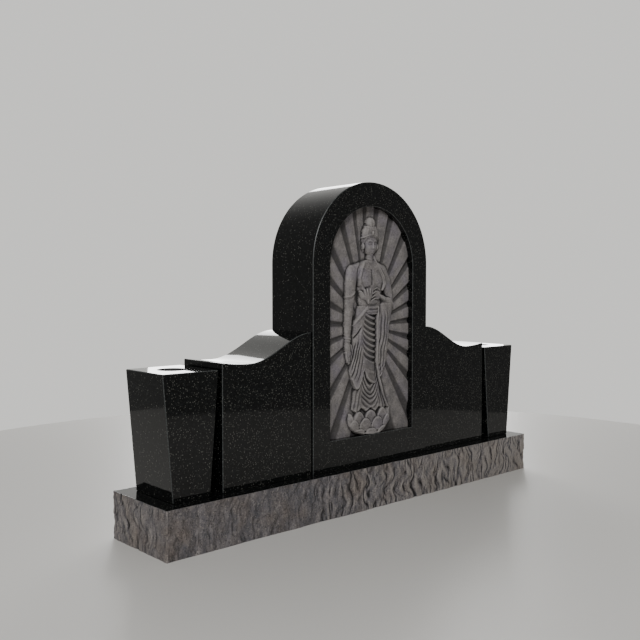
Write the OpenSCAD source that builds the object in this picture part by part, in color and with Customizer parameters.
// Three-part cemetery headstone on a common base: a round-headed granite tablet
// with a niche carved in relief, two swept wing stones and two square tapered
// vases, all standing loose on a rock-pitched granite base.
// Frame: origin at the centre of the underside, +X along the base to the
// viewer's right, +Y to the back, +Z up. All sizes are in millimetres.

/* [Base] */
// Deck left free outside each vase, left and right
base_margin = 27.5; // [20:0.5:90]
// Depth of the base, front to back
base_depth = 328; // [270:2:420]
// Height of the base
base_height = 152; // [110:2:200]
// Deepest hollow of the rock-pitched edge
pitch_depth = 9; // [3:1:14]
// Length of one hollow of the rock-pitched edge
pitch_length = 118; // [70:2:200]

/* [Tablet] */
// Width of the tablet
tablet_width = 592; // [492:2:712]
// Height of the tablet above the base
tablet_height = 1025; // [850:5:1230]
// Thickness of the tablet
tablet_thickness = 224; // [180:2:250]

/* [Niche and relief] */
// Plain border left and right of the niche
niche_border = 81; // [60:1:100]
// Plain border above the crown of the niche
niche_crown = 87; // [70:1:110]
// Height of the sill above the base
niche_sill = 106; // [80:2:140]
// Depth of the niche at the grooves between the rays
niche_depth = 31; // [24:1:45]
// Height of the ray ridges above their grooves at the niche wall
ray_rise = 9; // [4:1:14]
// Height of the middle of the rays above the sill, as a share of the niche
ray_centre_share = 0.477; // [0.42:0.005:0.52]
// Greatest height of the figure above the grooves
figure_rise = 28; // [18:1:29]

/* [Wings] */
// Length of each wing
wing_length = 371; // [310:1:450]
// Thickness of the wings
wing_thickness = 218; // [150:2:240]
// Set-back of the wing fronts behind the tablet front
wing_setback = 6; // [0:1:20]
// Height of the wings where they meet the tablet
wing_crest = 491.5; // [430:0.5:560]
// Height of the wings at the lowest point of their dip
wing_dip = 401; // [340:0.5:425]
// Rise of the outer tip above the dip
wing_flick = 9; // [0:0.5:30]
// Share of the wing's length from its crest to its dip
wing_sweep_share = 0.714; // [0.6:0.002:0.9]
// Open joint between the tablet and each wing
wing_joint = 2; // [1:0.5:6]

/* [Vases] */
// Width of each vase at its top
vase_top = 199; // [160:1:240]
// Width of each vase at its foot
vase_foot = 134; // [110:1:160]
// Height of the vases
vase_height = 390; // [320:2:470]
// Depth of the vases, front to back
vase_depth = 218; // [150:2:240]
// Gap between a vase's rim and the wing beside it
vase_gap = 14.5; // [8:0.5:60]
// Diameter of the round flower bore
bore_diameter = 90; // [60:1:110]
// Depth of the flower bore
bore_depth = 200; // [120:5:280]

/* [Hidden] */
$fn = 96;
deck = base_height;
tablet_front = -tablet_thickness / 2;
arch_radius = tablet_width / 2;
arch_z = deck + tablet_height - arch_radius;
wing_front = tablet_front + wing_setback;
wing_inner = tablet_width / 2 + wing_joint;
vase_front = wing_front;
vase_offset = wing_inner + wing_length + vase_gap + vase_top / 2;
base_length = 2 * (vase_offset + vase_top / 2 + base_margin);
niche_width = tablet_width - 2 * niche_border;
niche_height = tablet_height - niche_sill - niche_crown;
ray_centre = ray_centre_share * niche_height;
sink = 0.58 * niche_border;
sill_z = deck + niche_sill;
niche_radius = niche_width / 2;
niche_arch_z = sill_z + niche_height - niche_radius;
groove_y = tablet_front + niche_depth;
ray_z = sill_z + ray_centre;
// figure drawn on a 430 by 832 niche with a rise of 28, then scaled to fit
fx = niche_width / 430;
fz = niche_height / 832;
fr = figure_rise / 28;
stone_dark = [0.09, 0.095, 0.1];
stone_grey = [0.45, 0.44, 0.44];

// ---------------------------------------------------------------- helpers
function clamp(v, a, b) = min(b, max(a, v));
function sq(v) = v * v;
function ease(t) = let (c = clamp(t, 0, 1)) c * c * (3 - 2 * c);

// ------------------------------------------------------------------- base
// Hollow of the pitched edge at distance s round the rim and height share v.
function scallop(s, v, k) =
    let (w = s / k * 180,
         a = abs(sin(w + 26 * sin(w * 0.37 + 40) + 22 * v)),
         b = 0.5 + 0.5 * sin(w * 0.31 + 70 * v))
    clamp(1.25 * a * (0.45 + 0.75 * b) - 0.12, 0, 1);

// Rim outline: straight sides with rounded corners, walked by distance.
corner = 16;
side_l = base_length - 2 * corner;
side_d = base_depth - 2 * corner;
arc_c = PI * corner / 2;
rim = 2 * (side_l + side_d) + 4 * arc_c;
hl = side_l / 2;
hd = side_d / 2;
function rim_turn(cx, cy, a0, t) =
    let (a = a0 + 90 * t / arc_c) [cx, cy, cos(a), sin(a), corner];
function rim_at(s) =
    s < side_l ? [-hl + s, -hd, 0, -1, corner] :
    s < side_l + arc_c ? rim_turn(hl, -hd, -90, s - side_l) :
    s < side_l + arc_c + side_d ? [hl, -hd + s - side_l - arc_c, 1, 0, corner] :
    s < side_l + 2 * arc_c + side_d ? rim_turn(hl, hd, 0, s - side_l - arc_c - side_d) :
    s < 2 * side_l + 2 * arc_c + side_d ?
        [hl - (s - side_l - 2 * arc_c - side_d), hd, 0, 1, corner] :
    s < 2 * side_l + 3 * arc_c + side_d ?
        rim_turn(-hl, hd, 90, s - 2 * side_l - 2 * arc_c - side_d) :
    s < 2 * side_l + 3 * arc_c + 2 * side_d ?
        [-hl, hd - (s - 2 * side_l - 3 * arc_c - side_d), -1, 0, corner] :
        rim_turn(-hl, -hd, 180, s - 2 * side_l - 3 * arc_c - 2 * side_d);

rim_steps = 128;
levels = [0, 0.16, 0.36, 0.58, 0.8, 0.94, 1];
// The pitched face bulges a little at mid height and turns in at both edges.
function belly(v) = 1 - sq(2 * v - 0.9);
function rim_point(i, v) =
    let (s = (i + 0.5) * rim / rim_steps,
         p = rim_at(s),
         cut = pitch_depth * (scallop(s, v, pitch_length) * 0.8 + 0.35 * (1 - belly(v))),
         r = p[4] - min(cut, pitch_depth))
    [p[0] + p[2] * r, p[1] + p[3] * r, v * base_height];

module base() {
    n = rim_steps;
    m = len(levels);
    ring = [for (v = levels) for (i = [0:n - 1]) rim_point(i, v)];
    pts = concat(ring, [[0, 0, 0], [0, 0, base_height]]);
    sides = [for (k = [0:m - 2]) for (i = [0:n - 1])
        let (a = k * n + i, b = k * n + (i + 1) % n)
        each [[a, a + n, b], [b, a + n, b + n]]];
    caps = [for (i = [0:n - 1])
        each [[m * n, i, (i + 1) % n],
              [m * n + 1, (m - 1) * n + (i + 1) % n, (m - 1) * n + i]]];
    color(stone_grey) polyhedron(points = pts, faces = concat(sides, caps));
}

// ----------------------------------------------------------------- relief
// Angles of the grooves between the rays, from straight up, right and left.
groove_right = [5, 16, 29, 42, 56, 70, 86, 103, 118, 133, 147, 163];
groove_left = [3, 10, 20, 34, 49, 67, 86, 105, 122, 141, 155, 169];
rays = len(groove_right);
groove_angles = concat(groove_right, [for (k = [rays - 1:-1:0]) 360 - groove_left[k]]);
ray_count = len(groove_angles);

// Distance from the middle of the rays to a rim sunk in the stone round the
// niche: an arch above, a squarish oval below.
rim_half = niche_radius + sink;
rim_drop = ray_centre + 0.76 * niche_sill;
arch_up = niche_arch_z - ray_z;
function sunk_arch(a) =
    let (q = sq(rim_half) - sq(arch_up * sin(a)))
    q > 0 && arch_up * cos(a) + sqrt(q) > arch_up / max(0.01, cos(a)) ?
        arch_up * cos(a) + sqrt(q) : rim_half / max(0.01, abs(sin(a)));
function sunk_oval(a) =
    1 / pow(pow(abs(sin(a)) / rim_half, 4) + pow(abs(cos(a)) / rim_drop, 4), 0.25);
function sunk_rim(a) = cos(a) > 0 ? sunk_arch(a) : sunk_oval(a);

function ray_vertex(a, rise) =
    let (r = sunk_rim(a), wall = max(180, r - sink))
    [r * sin(a), groove_y - rise * r / wall, ray_z + r * cos(a)];

module rays_fan() {
    n = 2 * ray_count;
    rim_pts = [for (k = [0:ray_count - 1])
        let (a = groove_angles[k],
             b = k == ray_count - 1 ? groove_angles[0] + 360 : groove_angles[k + 1],
             wide = min(1, (b - a) / 12))
        each [ray_vertex(a, 0), ray_vertex((a + b) / 2, ray_rise * wide)]];
    back_pts = [for (p = rim_pts) [p[0], groove_y + 9, p[2]]];
    pts = concat(rim_pts, back_pts,
                 [[0, groove_y, ray_z], [0, groove_y + 9, ray_z]]);
    tops = [for (i = [0:n - 1]) [2 * n, i, (i + 1) % n]];
    backs = [for (i = [0:n - 1]) [2 * n + 1, n + (i + 1) % n, n + i]];
    walls = [for (i = [0:n - 1]) let (j = (i + 1) % n)
        each [[i, n + i, j], [j, n + i, n + j]]];
    polyhedron(points = pts, faces = concat(tops, backs, walls));
}

// A round-topped mass, a tapering limb and a draped upright mass, each giving
// the height of the carving above the grooves at (x, z); below zero is none.
function dome(x, z, cx, cz, a, b, h, full = 1.5) =
    let (q = sq((x - cx) / a) + sq((z - cz) / b)) q < 1 ? h * sqrt(1 - pow(q, full)) : -3;
function limb(x, z, p, q, rp, rq, hp, hq) =
    let (d = q - p,
         t = clamp(([x, z] - p) * d / (d * d), 0, 1),
         e = norm([x, z] - p - t * d) / (rp + (rq - rp) * t))
    e < 1 ? (hp + (hq - hp) * t) * sqrt(1 - e * e) : -3;
function drape(x, z, left, right, rise, z0, z1, n) =
    z < z0 || z > z1 ? -3 :
    let (l = lookup(z, left), r = lookup(z, right),
         e = abs((x - (l + r) / 2) / ((r - l) / 2)))
    e < 1 ? lookup(z, rise) * sqrt(1 - pow(e, n)) : -3;

// Outline of the whole figure, [height above sill, left edge], [.., right edge].
outline_l = [[3, -74], [12, -100], [26, -114], [44, -122], [62, -118], [90, -104],
             [142, -92], [172, -88], [202, -94], [242, -103], [300, -118], [342, -122],
             [442, -120], [505, -117], [582, -112], [607, -98], [622, -68],
             [634, -30], [645, -26], [657, -44], [702, -47], [736, -38],
             [756, -23], [785, -17], [799, -8]];
outline_r = [[3, 74], [12, 100], [26, 114], [44, 122], [62, 118], [90, 100],
             [142, 82], [172, 68], [202, 60], [226, 84], [300, 88], [342, 90],
             [442, 102], [477, 116], [505, 114], [545, 102], [582, 88], [607, 77],
             [622, 58], [634, 30], [645, 26], [657, 46], [702, 50], [736, 41],
             [756, 25], [785, 18], [799, 9]];

// Lotus pedestal: two rows of petals on a body that draws in at its foot.
function petal(x, z, z0, z1, n, shift, h) =
    let (k = asin(clamp(x / 124, -1, 1)) / 180 * n + shift,
         w = max(0, cos(180 * (k - round(k)))),
         tip = z0 + (z1 - z0) * (0.5 + 0.5 * pow(w, 0.75)),
         t = (z - z0) / (tip - z0))
    t <= 0 || t >= 1 ? -3 : h * sqrt(1 - pow(2 * t - 1, 4)) * (0.8 + 0.2 * pow(w, 0.6));
function lotus(x, z) =
    let (half = lookup(z, [[1, 66], [10, 96], [26, 114], [44, 121], [62, 117], [90, 101]]),
         e = abs(x) / half)
    z > 90 || e >= 1 ? -3 :
    max(petal(x, z, 4, 56, 8, 0, 29), petal(x, z, 38, 92, 8, 0.5, 25),
        petal(x, z, -2, 30, 8, 0.5, 20)) * sqrt(1 - pow(e, 5));

// Lower edge of the overskirt: two hanging lobes with a notch between them.
hem_line = [[-96, 236], [-86, 205], [-80, 182], [-73, 171], [-64, 174], [-56, 184],
            [-48, 205], [-42, 225], [-36, 209], [-26, 197], [-12, 189], [6, 185],
            [22, 187], [34, 194], [46, 206], [60, 216]];
function under_skirt(x, z) =
    drape(x, z, [[74, -101], [92, -98], [142, -88], [172, -84], [240, -80]],
          [[74, 96], [92, 94], [142, 76], [172, 62], [203, 50], [240, 48]],
          [[74, 21], [120, 20], [240, 21]], 74, 240, 3);
function over_skirt(x, z) =
    z < lookup(x, hem_line) ? -3 :
    drape(x, z, [[150, -88], [203, -92], [242, -98], [300, -96], [340, -93],
                 [400, -82], [440, -68], [470, -60]],
          [[150, 40], [203, 44], [236, 34], [300, 32], [470, 34]],
          [[150, 26], [300, 27], [400, 25], [470, 24]], 150, 470, 3);
// Deep folded panel beside the garment's vertical edge, and that edge.
function fold_panel(x, z) =
    z > 266 && z < 462 && x < 24 && x > lookup(z, [[262, -28], [300, -42], [400, -40], [470, -22]]) ?
        -4 * clamp((x + 40) / 60, 0, 1) : 0;
function garment_edge(x, z) = max(
    limb(x, z, [30, 468], [27, 250], 5.5, 5.5, 29, 27),
    limb(x, z, [27, 250], [52, 172], 5.5, 5, 27, 24),
    limb(x, z, [52, 172], [90, 92], 5, 4, 24, 18));
function side_cloth(x, z) =
    drape(x, z, [[214, 26], [228, 30], [470, 34]],
          [[214, 50], [228, 84], [330, 88], [400, 92], [440, 100], [478, 112]],
          [[214, 17], [250, 20], [330, 22], [440, 25]], 214, 478, 2.6);
function torso(x, z) =
    drape(x, z, [[440, -62], [470, -57], [500, -56], [542, -62], [575, -84],
                 [596, -92], [612, -78], [624, -44], [634, -22]],
          [[440, 60], [500, 58], [542, 64], [575, 78], [596, 80], [612, 66],
           [624, 40], [634, 20]],
          [[440, 24], [500, 24], [560, 26], [590, 22], [612, 17], [634, 11]], 440, 634, 2.8);
function lappets(x, z) = max(
    limb(x, z, [-52, 604], [-58, 562], 13, 19, 21, 28),
    limb(x, z, [42, 606], [53, 560], 13, 20, 21, 28));
function arms(x, z) = max(
    limb(x, z, [-86, 586], [-97, 494], 24, 18.5, 21, 21),
    limb(x, z, [-98, 498], [-108, 347], 17.5, 12.5, 19, 16),
    limb(x, z, [-108, 342], [-94, 276], 12.5, 9, 17, 13),
    limb(x, z, [58, 588], [84, 548], 25, 16, 20, 20),
    limb(x, z, [84, 548], [103, 480], 16, 14, 20, 19),
    limb(x, z, [104, 474], [24, 502], 15, 11, 20, 28));
function hands(x, z) = max(
    limb(x, z, [-40, 480], [-4, 504], 10, 15, 25, 28),
    limb(x, z, [36, 494], [6, 500], 13, 14, 28, 28),
    dome(x, z, -6, 518, 16, 20, 28), dome(x, z, 38, 520, 22, 22, 28, 2.5),
    limb(x, z, [-44, 458], [36, 466], 6, 6, 25, 28));
function head(x, z) = max(
    limb(x, z, [0, 616], [1, 662], 19, 16.5, 17, 19),
    dome(x, z, 2, 697, 36, 50, 27, 1.25),
    dome(x, z, 2, 705, 47, 49, 24, 1.9),
    dome(x, z, 1, 762, 22, 35, 23, 1.6));

function figure_height(x, z) = fr * max(
    lotus(x, z), under_skirt(x, z), over_skirt(x, z) + fold_panel(x, z),
    garment_edge(x, z), side_cloth(x, z), torso(x, z), lappets(x, z), arms(x, z),
    hands(x, z), head(x, z), -3);

fig_cols = 32;
fig_rows = concat([for (k = [0:1:62]) 3 + 10 * k], [for (k = [0:1:25]) 632 + 6.68 * k]);
function fig_x(z, j) =
    let (l = lookup(z, outline_l) - 5, r = lookup(z, outline_r) + 5)
    l + (r - l) * j / fig_cols;

module figure() {
    nr = len(fig_rows);
    nc = fig_cols + 1;
    front = [for (i = [0:nr - 1]) for (j = [0:nc - 1])
        let (z = fig_rows[i], x = fig_x(z, j),
             h = i == 0 || i == nr - 1 || j == 0 || j == nc - 1 ? -3 : figure_height(x, z))
        [x * fx, groove_y - h, sill_z + z * fz]];
    back = [for (i = [0:nr - 1]) for (j = [0, nc - 1])
        [fig_x(fig_rows[i], j) * fx, groove_y + 7, sill_z + fig_rows[i] * fz]];
    pts = concat(front, back);
    bl = nr * nc;
    skin = [for (i = [0:nr - 2]) for (j = [0:nc - 2])
        let (a = i * nc + j, b = a + 1, c = a + nc, d = c + 1)
        each [[a, c, b], [b, c, d]]];
    sides = [for (i = [0:nr - 2])
        let (a = i * nc, c = a + nc, e = a + nc - 1, g = c + nc - 1,
             l0 = bl + 2 * i, r0 = l0 + 1, l1 = l0 + 2, r1 = l0 + 3)
        each [[a, l0, c], [c, l0, l1], [e, g, r0], [r0, g, r1],
              [l0, r0, l1], [l1, r0, r1]]];
    top = (nr - 1) * nc;
    lt = bl + 2 * (nr - 1);
    ends = concat(
        [for (j = [0:nc - 2]) [bl, j, j + 1]], [[bl, nc - 1, bl + 1]],
        [for (j = [0:nc - 2]) [lt, top + j + 1, top + j]], [[lt, lt + 1, top + nc - 1]]);
    polyhedron(points = pts, faces = concat(skin, sides, ends));
}

// ----------------------------------------------------------------- tablet
module arch_block(w, z0, zc, y0, y1) {
    translate([0, y1, 0]) rotate([90, 0, 0]) linear_extrude(height = y1 - y0)
        union() {
            translate([-w / 2, z0]) square([w, zc - z0]);
            translate([0, zc]) circle(d = w, $fn = 180);
        }
}

module tablet() {
    color(stone_dark) union() {
        difference() {
            arch_block(tablet_width, deck, arch_z, tablet_front, -tablet_front);
            arch_block(niche_width, sill_z, niche_arch_z, tablet_front - 5, groove_y + 2);
        }
        rays_fan();
        figure();
    }
}

// ------------------------------------------------------------------ wings
// Height of a wing above the base at distance u from the tablet.
wing_sweep = wing_length * wing_sweep_share;
function wing_top(u) =
    u < wing_sweep ?
        wing_dip + (wing_crest - wing_dip) * (1 + cos(180 * u / wing_sweep)) / 2 :
        wing_dip + wing_flick * sq((u - wing_sweep) / (wing_length - wing_sweep));

wing_steps = 48;
module wing(side) {
    curve = [for (k = [wing_steps:-1:0]) let (u = wing_length * k / wing_steps)
        [side * (wing_inner + u), deck + wing_top(u)]];
    foot = [[side * wing_inner, deck], [side * (wing_inner + wing_length), deck]];
    color(stone_dark) translate([0, wing_front + wing_thickness, 0]) rotate([90, 0, 0])
        linear_extrude(height = wing_thickness) polygon(concat(foot, curve));
}

module left_wing() { wing(-1); }
module right_wing() { wing(1); }

// ------------------------------------------------------------------ vases
module vase(side) {
    cx = side * vase_offset;
    top_z = deck + vase_height;
    color(stone_dark) difference() {
        translate([0, vase_front + vase_depth, 0]) rotate([90, 0, 0])
            linear_extrude(height = vase_depth)
                polygon([[cx - vase_foot / 2, deck], [cx + vase_foot / 2, deck],
                         [cx + vase_top / 2, top_z], [cx - vase_top / 2, top_z]]);
        translate([cx, vase_front + vase_depth / 2, top_z - bore_depth])
            cylinder(d = bore_diameter, h = bore_depth + 10);
    }
}

module left_vase() { vase(-1); }
module right_vase() { vase(1); }

// --------------------------------------------------------------- assembly
base();
tablet();
left_wing();
right_wing();
left_vase();
right_vase();
